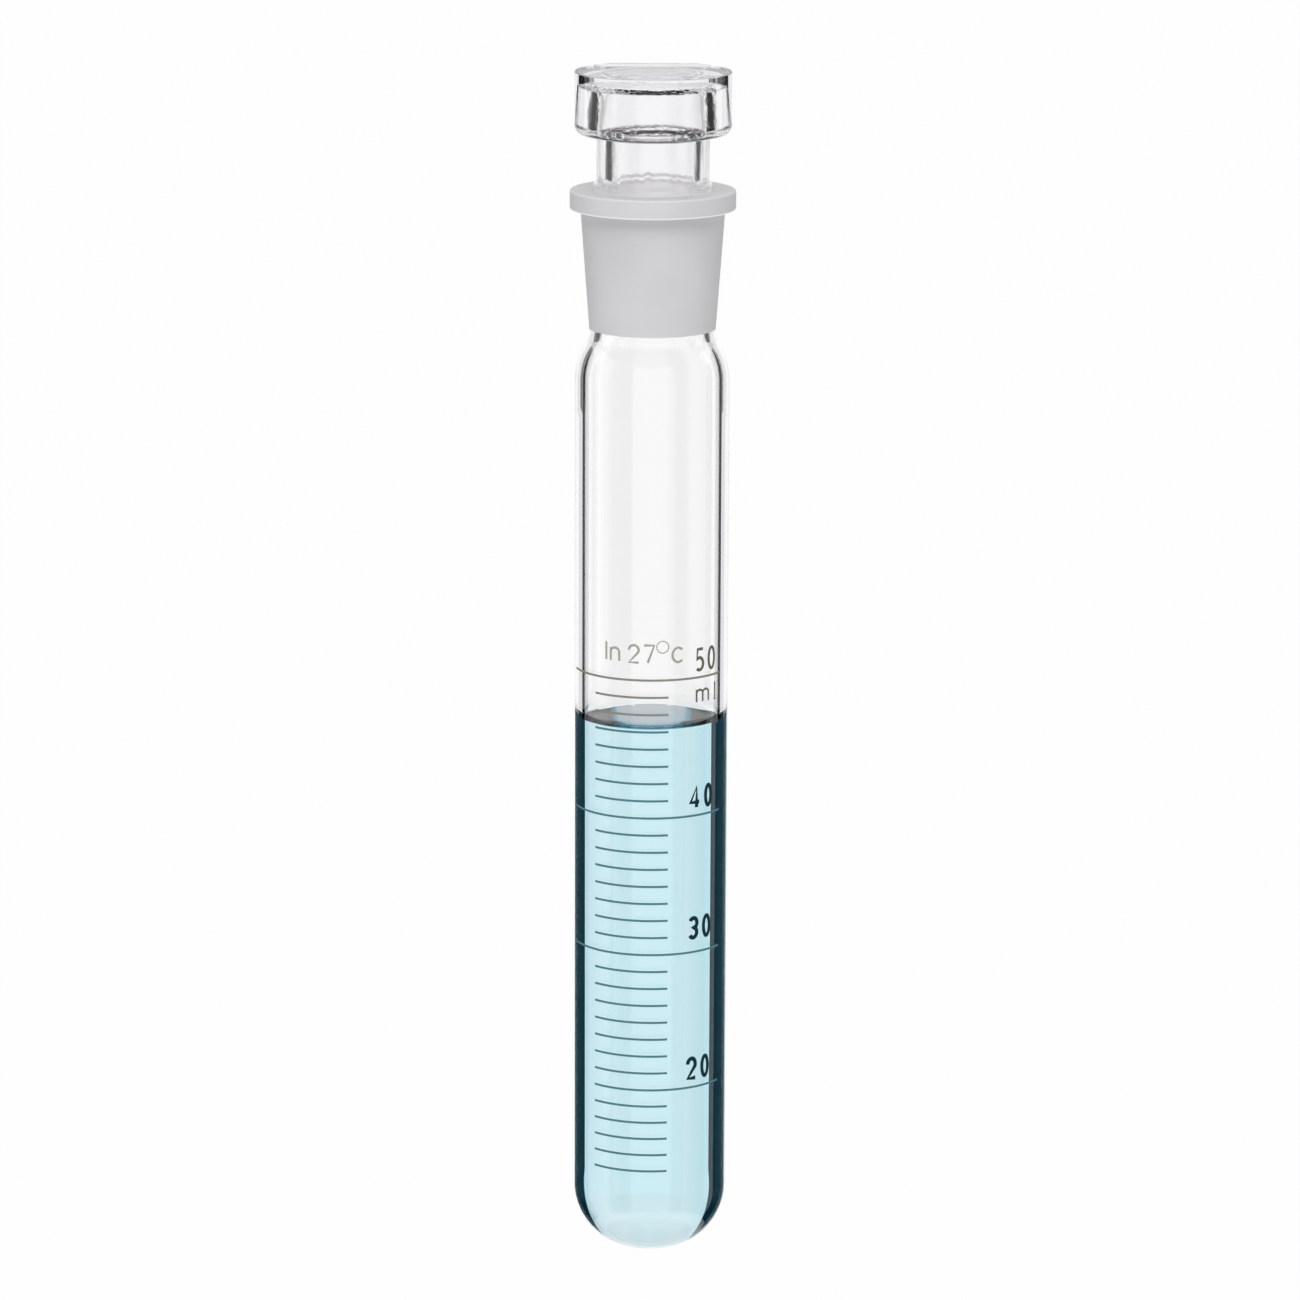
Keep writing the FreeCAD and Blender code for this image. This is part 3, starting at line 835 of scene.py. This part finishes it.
# Each enamel's two colours are one enamel with painted light: first through the liquid, then through
# empty glass.
line_enamel = enamel("line_enamel", srgb(84, 132, 143), srgb(145, 142, 134))
numeral_enamel = enamel("numeral_enamel", srgb(10, 50, 64), srgb(112, 108, 99))
note_enamel = enamel("note_enamel", srgb(168, 167, 156), srgb(174, 172, 160))

for node in ("short_ticks", "long_lines"):
    frame["nodes"][node].data.materials.clear()
    frame["nodes"][node].data.materials.append(line_enamel)
for word in numerals + unit:
    word.data.materials.append(numeral_enamel)
for word in note + [degree_ring]:
    word.data.materials.append(note_enamel)

# %% [markdown]
# ## Each piece rides on its body
#
# The new glass, liquid and stopper stand for the frame's plain ones. The printed lines of the
# frame are kept as they are and only take the enamel. A renderer lets clear glass cast a full
# shadow. The real stopper hardly darkens the rim under it, so its shadow is left off.

# %% Tie the pieces to the frame
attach(glass_tube, "tube_with_contents")
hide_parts("tube")
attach(liquid, "tube_with_contents")
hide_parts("liquid")
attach(glass_stopper, "stopper")
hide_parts("stopper")
glass_stopper.visible_shadow = False
for word in numerals + unit + note + [degree_ring]:
    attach(word, "tube_with_contents")

# %% [markdown]
# ## The camera
#
# A long lens from a little over a metre, looking down by twelve degrees, as for a catalogue
# picture. The numbers come from the curves of the scale lines, which open with the view's height.

# %% Place the camera
CAMERA_PLACE = Vector((-0.236, -1087.14, 351.92)) * MM
CAMERA_PITCH = radians(12.3575)
CAMERA_ROLL = radians(-0.207)
CAMERA_LENS = 168.507

bpy.ops.object.camera_add(location=CAMERA_PLACE)
camera = bpy.context.object
camera.name = "camera"
camera.data.sensor_width = 36
camera.data.lens = CAMERA_LENS
camera.rotation_euler = (pi / 2 - CAMERA_PITCH, 0, 0)
bpy.context.view_layer.update()
forward = Vector((0, cos(CAMERA_PITCH), -sin(CAMERA_PITCH)))
upright = Vector((0, sin(CAMERA_PITCH), cos(CAMERA_PITCH)))
right = Vector((1, 0, 0)) * cos(CAMERA_ROLL) - upright * sin(CAMERA_ROLL)
up = Vector((1, 0, 0)) * sin(CAMERA_ROLL) + upright * cos(CAMERA_ROLL)
turned = Matrix((right, up, -forward)).transposed().to_4x4()
camera.matrix_world = Matrix.Translation(CAMERA_PLACE) @ turned
bpy.context.scene.camera = camera
print("camera at", [round(number, 4) for number in camera.matrix_world.translation])

# %% [markdown]
# ## The studio
#
# Clear glass on a white ground vanishes unless its edges are darkened. Photographers light the
# ground behind and stand black cards on both sides, just outside the picture. The middle of the
# glass then bends light from the bright ground, and its edges bend light from the black cards,
# which draws the dark lines. The cards here are parts of a cylinder round the object. They only
# show through or in the glass. They turn with the camera, as if the object stood on a turntable.

# %% Plain light: the world
AMBIENT = 0.62


def seen_by_eye(graph):
    """1 for what shows by itself, in a reflection or through glass, and 0 for light on a surface."""
    seen = graph.node("ShaderNodeLightPath", output="Is Camera Ray")
    for ray in ("Is Glossy Ray", "Is Transmission Ray"):
        seen = seen.at_least(graph.node("ShaderNodeLightPath", output=ray))
    return seen


world = bpy.data.worlds.new("studio")
bpy.context.scene.world = world
graph = Graph(world)
white = graph.node("ShaderNodeBackground", {}, {
    "Color": (1, 1, 1, 1), "Strength": seen_by_eye(graph) * (1 - AMBIENT) + AMBIENT})
graph.output("ShaderNodeOutputWorld", Surface=white)

# %% One soft lamp over the camera
LAMP_PLACE = Vector((-0.05, -0.75, 1.25))
LAMP_AIM = Vector((0, 0, 0.12))
bpy.ops.object.light_add(type="AREA", location=LAMP_PLACE)
lamp = bpy.context.object
lamp.name = "soft_box"
lamp.data.shape = "DISK"
lamp.data.size = 0.9
lamp.data.energy = 11.0
lamp.rotation_euler = (LAMP_AIM - LAMP_PLACE).to_track_quat("-Z", "Y").to_euler()
lamp.visible_glossy = False
lamp.visible_transmission = False

# %% Pale floor, which shows white and still takes a shadow
FLOOR_HEIGHT = -0.4
FLOOR_RADIUS = 6.0
PAPER_SHARE = 0.03
bpy.ops.mesh.primitive_circle_add(vertices=96, radius=FLOOR_RADIUS, fill_type="NGON",
                                  location=(0, 0, FLOOR_HEIGHT))
floor = bpy.context.object
floor.name = "floor"
material, graph = new_material("pale_floor")
paper = graph.node("ShaderNodeBsdfPrincipled", {}, {"Base Color": (0.9, 0.9, 0.9, 1),
                                                    "Roughness": 0.8})
bright = graph.node("ShaderNodeEmission", {}, {"Color": (1, 1, 1, 1), "Strength": 1.0})
mixed = graph.node("ShaderNodeMixShader", {}, {"Fac": seen_by_eye(graph) * (1 - PAPER_SHARE),
                                               1: paper, 2: bright})
graph.output("ShaderNodeOutputMaterial", Surface=mixed)
floor.data.materials.append(material)

# %% [markdown]
# ## Cards
#
# Each part of the glass is darkened by cards of its own, told apart by height. The camera looks
# down, so the liquid, the empty wall and the head show bands of the cylinder at different
# heights. Behind the liquid hang teal cards, close to the glass, so that they also edge the round
# bottom, which bends the view upwards. Wings that fade from white to pale blue give the liquid
# its soft shading. Behind the empty wall and the head hang black cards with grey wings. Cards at
# the front show as weak reflections. One black card over the head makes the streak under its
# roof, and grey rings under the tube show in the liquid's surface.

# %% Make the cards' colours


def shining(name, shade, angle_range=None):
    """A card of one shade, or one that fades to it from white between two angles."""
    material, graph = new_material(name)
    if angle_range:
        start, end = [radians(angle) for angle in angle_range]
        place = graph.node("ShaderNodeTexCoord", output="Object")
        side = graph.node("ShaderNodeSeparateXYZ", {}, {"Vector": place}, output="X")
        back = graph.node("ShaderNodeSeparateXYZ", {}, {"Vector": place}, output="Y")
        angle = graph.node("ShaderNodeMath", {"operation": "ARCTAN2"}, {0: side, 1: back})
        share = ((angle - start) * (1 / (end - start))).at_least(0.0).at_most(1.0)
        shade = graph.node("ShaderNodeMix", {"data_type": "RGBA"},
                           {"Factor": share, "A": (1, 1, 1, 1), "B": shade}, output=2)
    shader = graph.node("ShaderNodeEmission", {}, {"Color": shade, "Strength": 1.0})
    graph.output("ShaderNodeOutputMaterial", Surface=shader)
    return material


black = shining("black_card", (0, 0, 0, 1))
teal = shining("teal_card", (0.002, 0.024, 0.038, 1))
deep = shining("deep_card", (0.03, 0.035, 0.04, 1))
dark = shining("dark_card", (0.15, 0.15, 0.16, 1))
middle = shining("middle_card", (0.5, 0.49, 0.52, 1))
light = shining("light_card", (0.64, 0.63, 0.66, 1))
right_blue = shining("right_blue_card", (0.72, 0.87, 0.95, 1), (10, 29.5))
left_blue = shining("left_blue_card", (0.76, 0.94, 1.0, 1), (-10, -23.5))
right_grey = shining("right_grey_card", (0.82, 0.82, 0.84, 1), (16, 35))
left_grey = shining("left_grey_card", (0.82, 0.82, 0.84, 1), (-16, -33))

# %% List the cards
FAR, NEAR, UNDER_HEAD = 0.5, 0.1, 0.3
CARD_LOW, CARD_HIGH = -0.39, 0.75
LIQUID_TOP, WALL_TOP = -0.01, 0.075
NEAR_LOW, NEAR_HIGH = -0.075, 0.081
SIDE_CARDS = [
    # name, from, to in degrees from straight behind the glass, positive to the right,
    # low, high, colour, distance from the tube's axis
    ("right_low_card", 29.5, 72, NEAR_LOW, NEAR_HIGH, teal, NEAR),
    ("right_wall_card", 40, 61, LIQUID_TOP, WALL_TOP, black, FAR),
    ("right_high_card", 35, 61, WALL_TOP, CARD_HIGH, black, FAR),
    ("left_low_card", -23.5, -68, NEAR_LOW, NEAR_HIGH, teal, NEAR),
    ("left_wall_card", -40, -61, LIQUID_TOP, WALL_TOP, black, FAR),
    ("left_high_card", -31, -61, WALL_TOP, CARD_HIGH, black, FAR),
    ("right_low_wing", 10, 29.5, NEAR_LOW, NEAR_HIGH, right_blue, NEAR),
    ("right_high_wing", 16, 40, LIQUID_TOP, CARD_HIGH, right_grey, FAR),
    ("left_low_wing", -10, -23.5, NEAR_LOW, NEAR_HIGH, left_blue, NEAR),
    ("left_high_wing", -16, -40, LIQUID_TOP, CARD_HIGH, left_grey, FAR),
    ("right_room", 80, 125, CARD_LOW, CARD_HIGH, dark, FAR),
    ("right_corner", 125, 145, CARD_LOW, CARD_HIGH, deep, FAR),
    ("left_room", -112, -127, CARD_LOW, CARD_HIGH, dark, FAR),
    ("left_corner", -127, -150, CARD_LOW, CARD_HIGH, deep, FAR),
    ("room_front", 145, 210, CARD_LOW, CARD_HIGH, light, FAR),
    ("back_high", -60, 60, 0.25, 0.32, light, UNDER_HEAD),
]
FLAT_CARDS = [
    # name, inner and outer radius, height, colour
    ("top_card", 0, 0.5, 0.45, black),
    ("low_card", 0, 0.12, -0.3, dark),
    ("low_ring", 0.12, 0.24, -0.3, middle),
]

# %% Hang the cards round the glass


def hang_card(card, material):
    """A card that shows in and through glass only, and turns with the camera."""
    card.data.materials.append(material)
    card.visible_camera = False
    card.visible_diffuse = False
    card.visible_shadow = False
    card.visible_volume_scatter = False
    world_place = card.matrix_world.copy()
    card.parent = camera
    card.matrix_world = world_place


def side_card(name, start, end, low, high, material, radius):
    """A part of a cylinder between two angles from straight behind, positive to the right."""
    section = HalfSection(name, radius, low)
    section.line(radius, high)
    bpy.ops.mesh.select_all(action="SELECT")
    bpy.ops.transform.rotate(value=-radians(90 - start), orient_axis="Z",
                             center_override=(0, 0, 0))
    bpy.ops.mesh.spin(steps=24, angle=radians(end - start), center=(0, 0, 0), axis=(0, 0, 1))
    bpy.ops.object.mode_set(mode="OBJECT")
    places = [vertex.co for vertex in section.piece.data.vertices]
    print(name, "x", [round(f(p.x for p in places), 3) for f in (min, max)],
          "y", [round(f(p.y for p in places), 3) for f in (min, max)])
    hang_card(section.piece, material)


def flat_card(name, inner, outer, height, material):
    """A ring over or under the glass."""
    section = HalfSection(name, inner, height)
    section.line(outer, height)
    bpy.ops.mesh.select_all(action="SELECT")
    bpy.ops.mesh.spin(steps=96, angle=tau, center=(0, 0, 0), axis=(0, 0, 1))
    bpy.ops.object.mode_set(mode="OBJECT")
    hang_card(section.piece, material)


for card in SIDE_CARDS:
    side_card(*card)
for card in FLAT_CARDS:
    flat_card(*card)

# %% Let light pass as many walls as it meets
cycles = bpy.context.scene.cycles
cycles.max_bounces = 20
cycles.transmission_bounces = 20
cycles.glossy_bounces = 12
cycles.transparent_max_bounces = 16
bpy.context.scene.view_settings.view_transform = "Standard"
